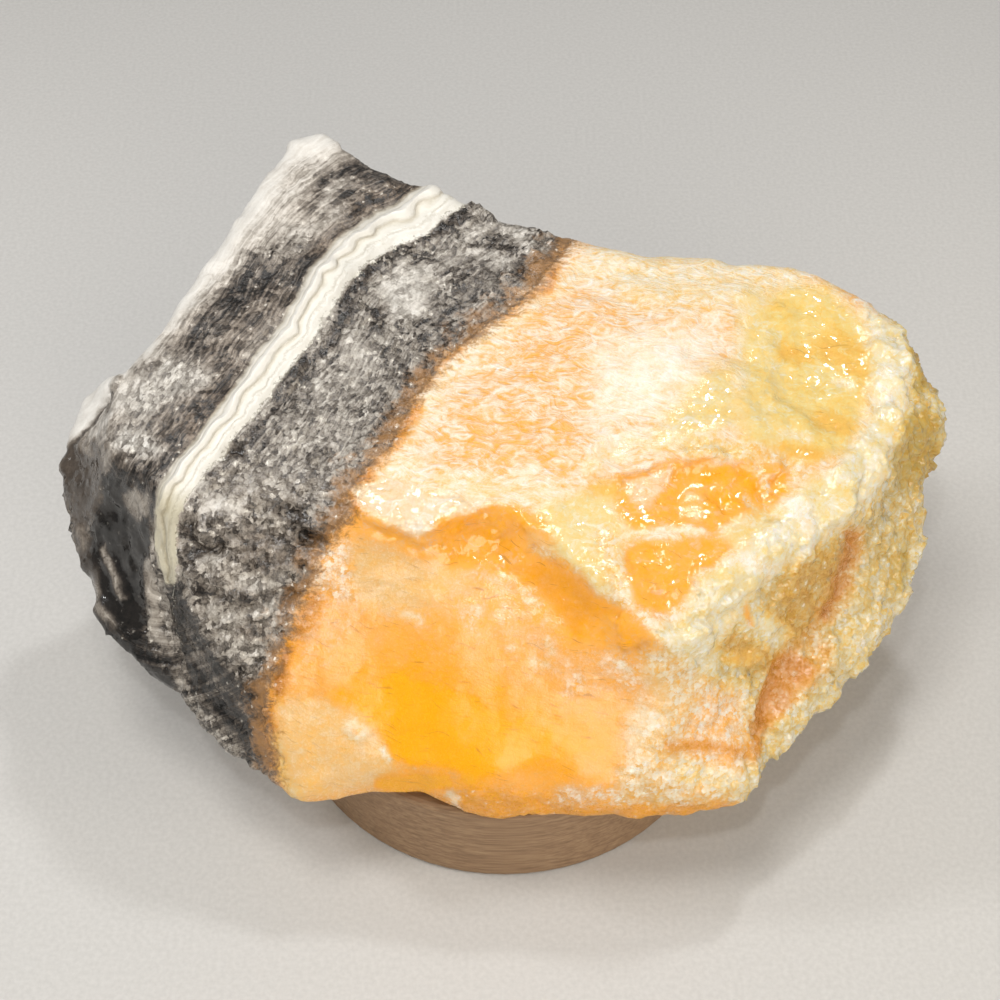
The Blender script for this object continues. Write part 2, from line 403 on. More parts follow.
TOP_PAINT = [
    # Rust along the grey end.
    ("cream_fibre", 2.0, 3.0, 0.5, [
        (600, 262), (574, 276), (520, 312), (470, 352), (450, 372), (430, 402), (410, 440),
    ]),
    ("rust", 1.3, 2.0, 0.9, [(562, 240), (556, 262), (548, 286)]),
    ("rust", 1.6, 2.4, 0.6, [(540, 288), (506, 312), (480, 322)]),
    ("rust", 1.4, 1.8, 0.9, [(458, 346), (436, 364), (424, 382)]),
    ("orange_rust", 2.2, 2.2, 1.0, [(412, 410), (400, 430), (386, 450), (366, 470)]),
    ("dark_rust", 1.6, 1.8, 0.9, [(362, 478), (350, 494), (356, 510)]),
    # Peach, clouded and streaked.
    ("orange_fibre", 0, 8, 0.9, [(450, 424), (500, 400), (560, 430), (560, 470), (500, 476), (450, 470)]),
    ("orange_fibre", 0, 8, 0.7, [(540, 330), (600, 330), (610, 390), (560, 400), (520, 370)]),
    ("cream_fibre", 0, 6, 0.9, [(600, 230), (820, 250), (800, 300), (700, 314), (620, 300), (580, 270)]),
    ("white_cloud", 0, 8, 0.95, [(590, 352), (650, 330), (716, 330), (706, 376), (660, 400), (600, 402)]),
    ("white_cloud", 1.4, 2.0, 0.8, [(522, 476), (534, 468)]),
    ("cream_fibre", 2.6, 4.0, 0.8, [(392, 470), (430, 482), (500, 488), (560, 494)]),
    ("white_cloud", 3.0, 5.0, 0.7, [(600, 424), (624, 410), (650, 404)]),
    # Honey, wet and glassy, at the back right.
    ("honey", 0, 4, 1.0, [
        (744, 324), (786, 286), (830, 284), (862, 322), (870, 366), (862, 414), (852, 452), (806, 462),
        (780, 446), (748, 444), (738, 400), (734, 360),
    ]),
    ("pale_honey", 3.0, 4, 0.8, [(752, 300), (764, 340), (770, 380)]),
    ("pale_honey", 3.4, 4, 0.7, [(770, 430), (756, 404)]),
    ("amber_honey", 3.4, 3.5, 0.7, [(826, 346), (850, 352), (866, 366)]),
    ("amber_honey", 2.0, 2.5, 0.8, [(784, 352), (802, 356)]),
    ("amber_honey", 2.0, 2.5, 0.8, [(826, 420), (844, 426)]),
    ("amber_honey", 1.6, 1.8, 0.9, [(786, 450), (812, 456)]),
    ("white_frost", 1.0, 1.6, 0.8, [(836, 380), (850, 384)]),
    ("white_frost", 1.2, 1.6, 0.6, [(786, 432), (808, 440)]),
    ("pale_honey", 0, 5, 1.0, [
        (690, 384), (716, 366), (738, 366), (744, 424), (700, 434), (664, 446), (648, 446), (660, 424),
        (680, 404),
    ]),
    ("cream_fibre", 1.6, 2.5, 0.7, [(744, 324), (738, 352), (740, 384)]),
    ("white_frost", 1.0, 2.0, 0.6, [(664, 424), (676, 440)]),
    # The scalloped ledge, and the clear orange windows under it.
    ("grey_glass", 0, 3, 0.9, [(600, 440), (626, 432), (644, 440), (622, 460), (598, 470), (584, 466)]),
    ("beige_crust", 2.2, 2.2, 0.75, [(690, 446), (720, 450), (748, 452)]),
    ("cream_frost", 2.2, 2.2, 0.8, [(752, 452), (780, 460), (800, 470)]),
    ("clear_orange", 0, 1.4, 1.0, [
        (588, 480), (640, 474), (672, 462), (704, 460), (736, 472), (752, 460), (784, 468), (790, 492),
        (776, 506), (756, 520), (736, 518), (714, 532), (690, 526), (656, 530), (628, 540), (622, 520),
        (616, 500), (598, 494),
    ]),
    ("honey", 2.2, 2.5, 0.7, [(598, 486), (612, 494), (606, 504)]),
    ("peach_glass", 0, 1.0, 1.0, [
        (622, 482), (650, 476), (674, 462), (668, 482), (656, 498), (648, 508), (628, 502),
    ]),
    ("peach_wax", 2.6, 3.0, 0.8, [(694, 494), (692, 514)]),
    ("amber_orange", 2.0, 2.0, 1.0, [(744, 472), (752, 488)]),
    ("amber_orange", 1.4, 1.6, 1.0, [(708, 478), (720, 474)]),
    ("amber_orange", 2.2, 3.0, 0.6, [(718, 500), (742, 506)]),
    ("cream_frost", 1.1, 1.0, 0.9, [(754, 466), (766, 490)]),
    ("cream_frost", 0.9, 1.0, 0.9, [(742, 498), (752, 508)]),
    ("amber_orange", 0.9, 1.2, 0.8, [(782, 466), (788, 474)]),
    ("white_frost", 0.6, 0.9, 0.9, [(626, 536), (656, 528), (690, 528), (702, 532)]),
    ("clear_orange", 0, 1.6, 1.0, [
        (624, 548), (650, 541), (702, 535), (738, 540), (722, 562), (694, 576), (684, 600), (668, 614),
        (640, 612), (627, 590),
    ]),
    ("pale_honey", 3.0, 3.5, 0.9, [(738, 534), (764, 522)]),
    # The pale glassy wedge over the brow.
    ("pale_honey", 0, 2.5, 1.0, [
        (548, 506), (582, 488), (614, 506), (622, 545), (621, 570), (630, 598), (604, 598), (580, 580),
        (556, 560), (538, 540), (524, 522),
    ]),
    ("cream_frost", 2.4, 3.0, 0.8, [(604, 540), (614, 570), (618, 590)]),
    ("cream_frost", 1.0, 1.2, 0.9, [(536, 552), (566, 570), (598, 596), (628, 606)]),
    ("peach_frost", 1.6, 2.0, 0.8, [(640, 616), (668, 622), (684, 610)]),
    # The white crusted ridge.
    ("white_crust", 0, 3.0, 1.0, [
        (866, 306), (906, 330), (914, 352), (908, 390), (902, 424), (890, 462), (872, 496), (842, 528),
        (806, 552), (772, 576), (748, 602), (718, 640), (700, 700), (680, 720), (668, 660), (652, 634),
        (682, 612), (696, 580), (732, 560), (764, 528), (786, 500), (828, 474), (858, 444), (872, 404),
        (868, 334),
    ]),
    ("white_frost", 2.0, 2.5, 1.0, [(796, 508), (806, 524)]),
    ("white_frost", 1.2, 1.6, 0.8, [(884, 372), (890, 400)]),
    ("white_frost", 1.4, 2.0, 0.8, [(744, 560), (766, 572)]),
    ("pale_honey", 2.2, 3.0, 0.6, [(720, 580), (748, 586)]),
    ("pale_honey", 2.0, 3.0, 0.6, [(838, 494), (812, 484)]),
    ("pale_honey", 1.5, 1.8, 0.8, [(882, 428), (898, 430)]),
]
FRONT_PAINT = [
    # The upper left, pale, with frosty crystals along the grey end.
    ("pale_wax", 0, 5, 1.0, [
        (344, 548), (376, 544), (430, 562), (478, 582), (446, 602), (416, 616), (380, 612), (350, 604),
    ]),
    ("peach_frost", 0, 2.5, 0.9, [(318, 548), (346, 538), (352, 570), (352, 602), (326, 604), (308, 580)]),
    ("peach_wax", 0, 5, 0.9, [(306, 604), (350, 604), (350, 650), (300, 670), (280, 660)]),
    ("rust", 2.0, 2.8, 0.8, [(314, 604), (302, 622), (296, 634)]),
    ("dark_rust", 1.6, 2.2, 0.9, [(284, 652), (280, 674), (276, 696)]),
    ("dark_rust", 1.3, 1.8, 0.9, [(266, 712), (272, 738), (280, 756)]),
    ("warm_wax", 0, 12, 0.9, [
        (330, 690), (420, 660), (520, 700), (610, 730), (600, 770), (500, 790), (380, 770),
    ]),
    # The clear strip under the brow, which deepens downhill.
    ("lip_glass", 0, 1.4, 1.0, [
        (348, 488), (386, 478), (430, 492), (478, 494), (492, 502), (452, 512), (442, 520), (432, 534),
        (420, 540), (400, 532), (380, 520), (362, 508),
    ]),
    ("clear_orange", 0, 2.2, 1.0, [
        (360, 512), (384, 526), (420, 541), (436, 534), (446, 520), (474, 510), (504, 503), (542, 520),
        (556, 546), (520, 548), (524, 560), (566, 566), (604, 600), (662, 646), (660, 664), (620, 652),
        (572, 642), (556, 616), (512, 578), (470, 570), (430, 557), (390, 546), (350, 530),
    ]),
    ("amber_orange", 1.8, 2.5, 0.8, [(440, 530), (462, 524), (480, 532), (500, 548)]),
    ("deep_orange", 0, 3.0, 1.0, [
        (506, 566), (540, 566), (576, 580), (612, 612), (590, 618), (576, 640), (560, 626), (548, 604),
        (520, 584),
    ]),
    ("amber_orange", 1.6, 1.8, 1.0, [(622, 640), (644, 652)]),
    ("pale_wax", 1.8, 3.0, 0.6, [(530, 536), (544, 544)]),
    # The peach band under it, frosted in spots.
    ("peach_wax", 0, 5, 1.0, [
        (450, 588), (500, 580), (544, 602), (560, 626), (570, 650), (604, 652), (644, 668), (652, 700),
        (606, 704), (560, 690), (530, 672), (516, 640), (480, 630), (450, 616),
    ]),
    ("peach_frost", 1.2, 2.4, 0.5, [(478, 574), (500, 578), (522, 590), (536, 600)]),
    ("peach_frost", 1.0, 2.4, 0.5, [(462, 612), (478, 606), (470, 626)]),
    ("white_frost", 0.5, 1.6, 0.6, [(546, 642), (552, 650)]),
    ("white_frost", 0.6, 1.8, 0.7, [(532, 664), (546, 664)]),
    ("white_frost", 0.9, 1.4, 0.6, [(510, 650)]),
    ("peach_frost", 2.4, 3.0, 0.6, [(614, 660), (632, 672), (626, 682)]),
    ("white_frost", 0.6, 1.8, 0.7, [(620, 664), (632, 672)]),
    ("white_frost", 0.3, 1.4, 0.7, [(404, 612), (416, 618), (420, 624)]),
    ("peach_frost", 1.6, 2.0, 0.5, [(576, 684), (566, 694)]),
    # The glowing orange heart.
    ("glow", 0, 4.0, 1.0, [
        (364, 702), (396, 682), (430, 694), (474, 704), (504, 726), (548, 736), (546, 750), (508, 762),
        (500, 782), (470, 788), (460, 766), (420, 762), (396, 756), (384, 736),
    ]),
    ("glow", 0, 8.0, 0.25, [(330, 690), (420, 660), (560, 720), (600, 750), (520, 790), (400, 770)]),
    # The pale corner at the lower left, with a white spot.
    ("pale_wax", 0, 3.5, 1.0, [
        (272, 700), (326, 696), (352, 714), (384, 742), (400, 766), (386, 784), (330, 800), (296, 800),
        (276, 750),
    ]),
    ("olive_glass", 1.4, 2.4, 0.6, [(272, 740), (282, 772), (298, 800)]),
    ("white_frost", 1.8, 1.6, 0.7, [(354, 728), (362, 732)]),
    ("peach_wax", 0.9, 1.0, 0.7, [(355, 728), (358, 730)]),
    ("white_frost", 0.8, 1.0, 0.9, [(384, 750), (390, 758)]),
    ("peach_frost", 0.5, 2.0, 0.6, [(400, 766), (430, 764), (456, 772)]),
    # The foot of the front.
    ("glow", 1.4, 1.4, 0.9, [(384, 782), (412, 784), (444, 782)]),
    ("fringe", 0, 2.0, 1.0, [
        (440, 788), (500, 786), (548, 798), (600, 806), (680, 800), (740, 800), (700, 850), (440, 840),
    ]),
    ("lip_glass", 1.2, 1.4, 0.9, [(452, 796), (458, 804)]),
    ("peach_frost", 2.0, 2.4, 0.9, [(560, 796), (600, 794), (640, 796)]),
    ("orange_wax", 2.0, 2.4, 0.7, [(480, 780), (530, 782)]),
    # The lower right, creamy and rough.
    ("white_frost", 0, 4.0, 0.7, [(624, 722), (640, 702), (668, 708), (668, 744), (650, 762), (626, 756)]),
    ("cream_frost", 0, 3.5, 1.0, [
        (640, 650), (664, 644), (720, 690), (740, 760), (740, 800), (680, 804), (620, 800), (612, 770),
        (646, 752), (664, 724), (652, 690),
    ]),
    ("pale_wax", 1.8, 2.4, 0.7, [(650, 676), (664, 700)]),
]
CRUST_PAINT = [
    ("gold_crust", 0, 4.0, 1.0, [
        (796, 556), (836, 544), (852, 560), (838, 602), (806, 640), (776, 652), (766, 600),
    ]),
    ("white_crust", 2.4, 2.4, 0.9, [(750, 622), (776, 636)]),
    ("clear_orange", 0.8, 1.0, 0.9, [(742, 602), (746, 624)]),
    ("clear_orange", 0.7, 1.0, 0.7, [(736, 638), (738, 646)]),
    ("gold_crust", 3.0, 3.0, 1.0, [(736, 648), (756, 656), (770, 664)]),
    ("amber_honey", 1.0, 1.4, 0.8, [(730, 660), (760, 652)]),
    ("rust", 1.8, 3.0, 0.9, [(856, 536), (850, 562), (840, 592), (828, 612)]),
    ("orange_rust", 1.4, 2.0, 0.6, [(858, 544), (864, 556)]),
    ("rust", 1.4, 3.0, 0.4, [(830, 610), (814, 634), (796, 650), (784, 660)]),
    ("orange_rust", 2.2, 3.0, 0.9, [(790, 664), (780, 674), (768, 704), (760, 730), (752, 750)]),
    ("rust", 1.4, 2.4, 0.8, [(790, 664), (774, 690), (764, 720)]),
    ("pink_crust", 2.4, 2.4, 0.9, [(800, 668), (786, 686), (780, 704)]),
    ("orange_rust", 1.8, 3.0, 0.4, [(822, 650), (816, 672), (796, 692)]),
    ("pale_crust", 0, 3.0, 0.9, [
        (872, 596), (890, 604), (880, 640), (860, 662), (832, 690), (812, 712), (780, 742), (760, 770),
        (774, 730), (810, 700), (838, 666), (846, 620),
    ]),
    ("beige_crust", 0, 3.0, 0.9, [(870, 500), (920, 500), (926, 560), (904, 600), (868, 600), (866, 550)]),
    ("pale_crust", 1.4, 1.6, 1.0, [
        (928, 500), (924, 540), (916, 580), (900, 604), (884, 636), (862, 664), (836, 696), (806, 720),
        (776, 746), (756, 780),
    ]),
    ("olive_glass", 1.8, 1.8, 1.0, [(912, 352), (922, 372), (924, 388)]),
    ("olive_glass", 0, 3.0, 0.9, [(906, 414), (940, 408), (950, 440), (934, 480), (896, 496), (892, 460)]),
    ("pale_crust", 1.2, 1.4, 0.9, [(932, 396), (944, 416), (948, 440)]),
    ("olive_glass", 1.8, 2.0, 0.7, [(904, 556), (898, 584)]),
    ("pale_crust", 1.3, 1.6, 0.8, [(868, 556), (872, 578)]),
    ("pale_crust", 1.3, 1.6, 0.8, [(884, 516), (892, 530)]),
    ("peach_frost", 0, 4.0, 0.9, [(700, 690), (742, 690), (750, 750), (736, 790), (690, 790), (680, 730)]),
    ("orange_rust", 1.2, 2.4, 0.8, [(672, 746), (700, 744), (736, 752)]),
    ("pale_crust", 2.6, 2.6, 0.8, [(684, 770), (706, 776), (740, 786)]),
]

# Ledges, hollows and lips of the broken surface: how far each stands out in millimetres, then its half width
# or 0, its softness, and its stroke or outline, as above.
LEDGES = [
    (0.9, 2.5, 4.0, [(286, 140), (312, 138), (334, 146)]),
    (0.6, 1.0, 2.0, [
        (356, 506), (380, 522), (400, 533), (420, 540), (434, 530), (444, 518), (474, 506), (500, 502),
    ]),
    (0.8, 1.0, 1.8, [(590, 470), (622, 474), (650, 466), (680, 454), (704, 456), (744, 460)]),
    (0.7, 0, 2.4, [(622, 482), (650, 476), (674, 462), (668, 482), (648, 508), (628, 502)]),
    (-0.8, 0, 4.0, [
        (624, 548), (702, 535), (738, 540), (722, 562), (694, 576), (684, 600), (668, 614), (640, 612),
    ]),
    (0.6, 0, 4.0, [
        (866, 306), (914, 352), (902, 424), (872, 496), (806, 552), (748, 602), (700, 700), (668, 660),
        (682, 612), (732, 560), (786, 500), (858, 444), (872, 404),
    ]),
    (0.7, 2.2, 2.4, [(796, 506), (806, 526)]),
    (-0.5, 0, 4.0, [
        (360, 516), (420, 546), (446, 528), (504, 512), (542, 528), (600, 600), (570, 630), (512, 576),
        (430, 556), (360, 530),
    ]),
    (-1.4, 2.2, 3.4, [(858, 540), (842, 600), (810, 646), (780, 676), (764, 730)]),
    (-1.4, 1.5, 2.0, [(226, 452), (238, 450)]),
    (-1.5, 1.6, 2.0, [(188, 526), (194, 552), (216, 546)]),
    (-1.4, 1.6, 2.0, [(284, 508), (296, 520)]),
    (-1.4, 1.8, 2.0, [(302, 534), (318, 546)]),
    (-1.0, 1.4, 2.0, [(284, 604), (292, 592)]),
    (-0.9, 0.7, 1.4, [(122, 382), (104, 408), (78, 440)]),
    (1.4, 1.2, 2.4, [(61, 466), (66, 440), (75, 418), (92, 398), (118, 382)]),
    (0.6, 1.8, 2.0, [(354, 728), (362, 732)]),
    (0.6, 1.2, 1.6, [(146, 560), (154, 624), (180, 678)]),
    (0.5, 0.9, 1.4, [(100, 556), (128, 600)]),
    (-0.8, 1.6, 2.2, [(156, 576), (166, 640), (184, 678)]),
]

# How far the edges of the patches and of the sheets through the stone wander: steps of a size and a reach, in
# millimetres.
PATCH_WANDER = ((9.0, 0.9), (3.2, 0.8))
SHEET_WANDER = ((7.0, 0.5), (2.4, 0.35))
# A patch's edge on the stone is softer than its stroke says, by this factor.
PATCH_SOFTENING = 1.5

# Over which distances in millimetres the stone's parts blend: the orange stone from the grey end, the crusted
# side from the top, and the waxy front from under the brow.
ORANGE_BLEND = (-1.2, 1.2)
CRUST_BLEND = (-1.0, 1.0)
FRONT_BLEND = (-2.0, 1.6)

# What the reference view doesn't see is frosted, with gold crust here and there: how far it turns away, how
# large its patches are in millimetres, and how each finish sets in over them.
UNSEEN_TURN = (0.05, 0.35)
UNSEEN_PATCH_SIZE = 13.0
UNSEEN_FROST = (0.0, 0.25)
UNSEEN_GOLD = (0.1, 0.5)
UNSEEN_GOLD_SHARE = 0.55

# The vein, measured across in its own half widths: where it ends, how its ropes wave over a size in
# millimetres, and how far along it in millimetres its point turns brown.
VEIN_EDGE = (0.9, 1.1)
VEIN_WAVE_SIZE = 5.5
VEIN_WAVE_REACH = 0.28
VEIN_BROWN_RUN = (119.0, 127.0)
VEIN_BROWN = 0.9

# The way that the orange stone's fibres run, and how far and over what size they bend, in millimetres.
FLOW_ACROSS = np.array([0.30, 0.75, 1.0])
FLOW_ALONG = np.array([1.0, -0.2, -0.3])
FLOW_BEND_SIZE = 9.0
FLOW_BEND_REACH = 3.0

# The relief's own sizes and heights in millimetres.
LUMP_SIZE = 4.5
LUMP_HEIGHT = 0.8
SMALL_LUMP_SIZE = 1.9
SMALL_LUMP_HEIGHT = 0.25
CHIP_SIZE = 2.3
FLAT_SIZE = 7.5
# The vein's two ropes: how far each stands out in millimetres, and where across the vein its crest lies. Then
# how wide a crest is across the vein, and how much the vein calms the rest of the relief.
VEIN_ROPES = ((1.3, -0.5), (0.7, 0.4))
VEIN_ROPE_WIDTH = 0.34
VEIN_CALM = 0.5
# The ridges of the bands left of the vein, in millimetres, how far across from the vein they start, and how
# fibrous the stone is there.
BAND_RIDGE_WIDTH = 1.8
BAND_RIDGE_LENGTH = 22.0
BAND_RIDGE_HEIGHT = 0.35
BAND_RIDGE_START = (1.1, 1.5)
BAND_RIDGE_FIBRE = (0.0, 0.5)


def through_modifiers(name, mesh, steps):
    """The mesh as a row of modifiers leaves it."""
    helper = bpy.data.objects.new(name, mesh)
    bpy.context.scene.collection.objects.link(helper)
    for kind, settings in steps:
        modifier = helper.modifiers.new(kind, kind)
        for setting, value in settings.items():
            setattr(modifier, setting, value)
    changed = bpy.data.meshes.new_from_object(helper.evaluated_get(bpy.context.evaluated_depsgraph_get()))
    bpy.data.objects.remove(helper)
    changed.name = name
    return changed


def read_places(mesh):
    places = np.empty(len(mesh.vertices) * 3)
    mesh.vertices.foreach_get("co", places)
    return places.reshape(-1, 3) / MM


def write_places(mesh, places):
    mesh.vertices.foreach_set("co", (places * MM).ravel())
    mesh.update()


def read_normals(mesh):
    normals = np.empty(len(mesh.vertices) * 3, np.float32)
    mesh.vertex_normals.foreach_get("vector", normals)
    return normals.reshape(-1, 3).astype(float)


def worn(places, mesh):
    """Places with the coarse solid's edges worn off, and its bulk kept."""
    edges = np.empty(len(mesh.edges) * 2, np.int64)
    mesh.edges.foreach_get("vertices", edges)
    first, second = edges.reshape(-1, 2).T
    ends, others = np.concatenate([first, second]), np.concatenate([second, first])
    neighbours = np.bincount(ends, minlength=len(places))[:, None]
    for step in (WEAR_IN, WEAR_OUT) * WEAR_PASSES:
        middle = np.stack([
            np.bincount(ends, places[others, axis], minlength=len(places)) for axis in range(3)
        ], axis=1) / neighbours
        places = places + (middle - places) * step
    return places


def wandered(places, spots, wander):
    """Spots in the picture, moved about as the stone's edges wander at those places."""
    moved = spots.copy()
    for index, (size, reach) in enumerate(wander):
        for axis in (0, 1):
            shift = STEP_SHIFT * index + AXIS_SHIFT * axis
            moved[:, axis] += noise_at(places, size, shift) * reach * UNITS_PER_MM
    return moved


def lay(layers, finish, share):
    for name, value in zip(PROPERTIES, FINISHES[finish]):
        layers[name] = mix(layers[name], value, share)


def lay_paint(layers, spots, where, paint):
    for finish, width, softness, amount, line in paint:
        lay(layers, finish, share_inside(spots, width, softness * PATCH_SOFTENING, line) * amount * where)


def lay_finishes(layers, spots, in_orange):
    """Lays every finish, by where each place is seen in the picture and whether it is in the orange stone."""
    brow_side, _ = along_trace(BROW_TRACE, spots)
    crust_side, _ = along_trace(CRUST_TRACE, spots)
    on_crust = smooth_step(*CRUST_BLEND, crust_side)
    on_front = smooth_step(*FRONT_BLEND, -brow_side) * (1 - on_crust)
    lay(layers, "orange_wax", on_front)
    lay(layers, "beige_crust", on_crust)
    lay(layers, "grey_crystal", 1 - in_orange)
    lay_paint(layers, spots, in_orange, TOP_PAINT)
    lay_paint(layers, spots, in_orange, FRONT_PAINT)
    lay_paint(layers, spots, in_orange * on_crust, CRUST_PAINT)
    lay_paint(layers, spots, 1 - in_orange, GREY_PAINT)


def stone_layers(places, normals):
    """Every property of the stone's surface at each place, and its distances from the vein and the orange."""
    spots = on_picture(places)
    sheet_spots = wandered(places, spots, SHEET_WANDER)
    vein_side, vein_run = along_trace(VEIN_TRACE, sheet_spots)
    orange_side, _ = along_trace(ORANGE_TRACE, sheet_spots)
    in_orange = smooth_step(*ORANGE_BLEND, orange_side)
    layers = {name: np.full(len(places), value) for name, value in zip(PROPERTIES, FINISHES["peach_fibre"])}
    lay_finishes(layers, wandered(places, spots, PATCH_WANDER), in_orange)

    unseen = smooth_step(*UNSEEN_TURN, normals @ -TO_CAMERA) * in_orange
    cover = noise_at(places, UNSEEN_PATCH_SIZE, shift=5.0, octaves=3)
    lay(layers, "cream_frost", unseen * smooth_step(*UNSEEN_FROST, cover))
    lay(layers, "gold_crust", UNSEEN_GOLD_SHARE * unseen * smooth_step(*UNSEEN_GOLD, -cover))

    across = vein_side / np.interp(vein_run, *zip(*VEIN_HALF_WIDTHS))
    on_vein = 1 - smooth_step(*VEIN_EDGE, np.abs(across))
    lay(layers, "ivory_vein", on_vein)
    layers["brown"] += VEIN_BROWN * smooth_step(*VEIN_BROWN_RUN, vein_run) * on_vein
    wave = noise_at(places, VEIN_WAVE_SIZE, shift=9.0, octaves=2) * VEIN_WAVE_REACH
    layers["vein_across"] = across + wave * np.clip(1 - across ** 2, 0.0, 1.0)

    bend = noise_at(places, FLOW_BEND_SIZE, shift=13.0, octaves=2) * FLOW_BEND_REACH
    layers["orange_side"] = orange_side
    layers["streak_across"] = np.where(orange_side > 0, places @ FLOW_ACROSS + bend, vein_side)
    layers["streak_along"] = np.where(orange_side > 0, places @ FLOW_ALONG, vein_run)
    return layers


def relief(places, layers):
    """Height of the broken surface over the worn solid, in millimetres."""
    lumps = noise_at(places, LUMP_SIZE, shift=3.0, octaves=2) * LUMP_HEIGHT
    lumps += noise_at(places, SMALL_LUMP_SIZE, shift=8.0) * SMALL_LUMP_HEIGHT
    chips = tilted_flats(places, CHIP_SIZE, shift=2.0)
    flats = tilted_flats(places, FLAT_SIZE, shift=6.0)
    height = layers["lumps"] * lumps + layers["chips"] * chips + layers["flats"] * flats

    across = layers["vein_across"]
    on_vein = 1 - smooth_step(*VEIN_EDGE, np.abs(across))
    height *= 1 - VEIN_CALM * on_vein
    height += sum(rise * np.exp(-((across - crest) / VEIN_ROPE_WIDTH) ** 2) for rise, crest in VEIN_ROPES)

    along_bands = np.zeros_like(places)
    along_bands[:, 0] = layers["streak_across"] / BAND_RIDGE_WIDTH
    along_bands[:, 1] = layers["streak_along"] / BAND_RIDGE_LENGTH
    on_left = smooth_step(*BAND_RIDGE_START, -across) * smooth_step(*BAND_RIDGE_FIBRE, layers["fibre"])
    height += on_left * BAND_RIDGE_HEIGHT * noise_at(along_bands, 1.0, shift=4.0, octaves=2)

    ledge_spots = wandered(places, on_picture(places), PATCH_WANDER)
    for rise, width, softness, line in LEDGES:
        height += rise * share_inside(ledge_spots, width, softness, line)
    return height


def make_stone():
    """The stone's surface: the coarse solid taken finely, worn, and broken again in relief."""
    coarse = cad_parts["calcite_stone"]
    mesh = through_modifiers("calcite_surface", coarse.data.copy(), [
        ("WELD", {"merge_threshold": WELD_DISTANCE * MM}),
        ("REMESH", {"mode": "VOXEL", "voxel_size": SURFACE_GRAIN * MM}),
    ])
    write_places(mesh, worn(read_places(mesh), mesh))
    places = read_places(mesh)
    normals = read_normals(mesh)
    layers = stone_layers(places, normals)
    broken = places + normals * relief(places, layers)[:, None]
    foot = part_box("calcite_stone")[0].z / MM
    broken[:, 2] = np.maximum(broken[:, 2], foot)
    write_places(mesh, broken)
    for name in SURFACE_LAYERS:
        attribute = mesh.attributes.new(name, "FLOAT", "POINT")
        attribute.data.foreach_set("value", layers[name].astype(np.float32))
    mesh.shade_smooth()
    mesh.materials.clear()
    mesh.materials.append(banded_calcite())
    stone = bpy.data.objects.new("calcite_surface", mesh)
    bpy.context.scene.collection.objects.link(stone)
    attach(stone, "root")
    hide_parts("calcite_stone")


def linear(colour):
    """An sRGB hex colour as linear red, green, blue and alpha, by the curve that sRGB is defined with."""
    shares = [int(colour[at:at + 2], 16) / 255 for at in (1, 3, 5)]
    shares = [share / 12.92 if share <= 0.04045 else ((share + 0.055) / 1.055) ** 2.4 for share in shares]
    return (*shares, 1.0)


def add(tree, kind, inputs, output=0, stops=(), **settings):
    """Adds one shader node with its settings, sets or feeds its sockets, and gives back one of its outputs."""
    node = tree.nodes.new("ShaderNode" + kind)
    for setting, value in settings.items():
        setattr(node, setting, value)
    for position, colour in stops[2:]:
        node.color_ramp.elements.new(position)
    for element, (position, colour) in zip(node.color_ramp.elements if stops else (), stops):
        element.position = position
        element.color = linear(colour)
    for socket, value in inputs.items():
        if isinstance(value, bpy.types.NodeSocket):
            tree.links.new(value, node.inputs[socket])
        else:
            node.inputs[socket].default_value = value
    return node.outputs[output] if node.outputs else node


# A Mix node's two colours go into these sockets, and the mixed one comes out of this output.
UNDER, OVER, MIXED = 6, 7, 2
# Noise runs from 0 to 1 about this middle, and so do a crystal's number and the colour that gives its tilt.
MIDDLE = 0.5


def start_material(name):
    """An empty material, its node tree, and places on its object in millimetres."""
    material = bpy.data.materials.new(name)
    material.use_nodes = True
    tree = material.node_tree
    tree.nodes.clear()
    metres = add(tree, "TexCoord", {}, "Object")
    return material, tree, add(tree, "VectorMath", {0: metres, "Scale": 1 / MM}, operation="SCALE")


# Banded calcite, broken by hand: glassy to waxy crystal from charcoal through ivory to orange and honey. Its
# cleaved faces, 1 mm and up, flash; its clear parts let light in; its frosted parts are granular.
SURFACE_LAYERS = (
    "tone", "brown", "cream", "yellow", "deep", "grain", "fibre", "wet",
    "vein_across", "streak_across", "streak_along", "orange_side",
)
CALCITE_IOR = 1.58
# How far light goes into it in millimetres, and the shares of that for red, green and blue.
LIGHT_REACH = 1.5
LIGHT_SHARES = (1.0, 0.7, 0.45)

# Sizes of its patterns in millimetres: clouding, strands of felt, grit, crystals, and the streaks that follow
# the vein or flow through the orange stone. Much of the real stone's crystal is finer than 1 mm, and is drawn
# 1.3 mm across so that it shows. Grit shakes the crystals' outlines by up to 0.4 mm each way.
CLOUD_SIZE = 4.762
FELT_STRAND = (4.167, 2.5, 2.778)
GRIT_SIZE = 0.625
CRYSTAL_SIZE = 4 / 3
CRYSTAL_SHAKE = (0.8, 0.8, 0.8)
STREAK_WIDTH = 0.7143
STREAK_LENGTH = 7.692

# How much each pattern lightens the grey end, and how much each one creams the orange stone. Then how far
# clouding creams and rusts the orange stone, how soon rust shows, how far clouding and crystals shift the
# vein's layers, and how strongly brown tints.
GREY_WEIGHTS = {
    "cloud": 0.22, "felt_speckle": 0.45, "speckle": 0.65, "facet": 0.62, "streak": 1.5, "gap": -0.14,
}
ORANGE_WEIGHTS = {"speckle": 1.0, "facet": 0.7, "gap": -0.3, "streak": 0.6}
CREAM_CLOUDING = 0.35
RUST_CLOUDING = 0.6
RUST_CURVE = 0.5
VEIN_CLOUDING = 0.1
VEIN_TEETH = 0.4
BROWNING = 0.7

# How far the seam's edges wander with the felt, the grit and the clouding, in millimetres.
SEAM_BY_FELT = 9.0
SEAM_BY_GRIT = 4.0
SEAM_BY_CLOUD = 14.0

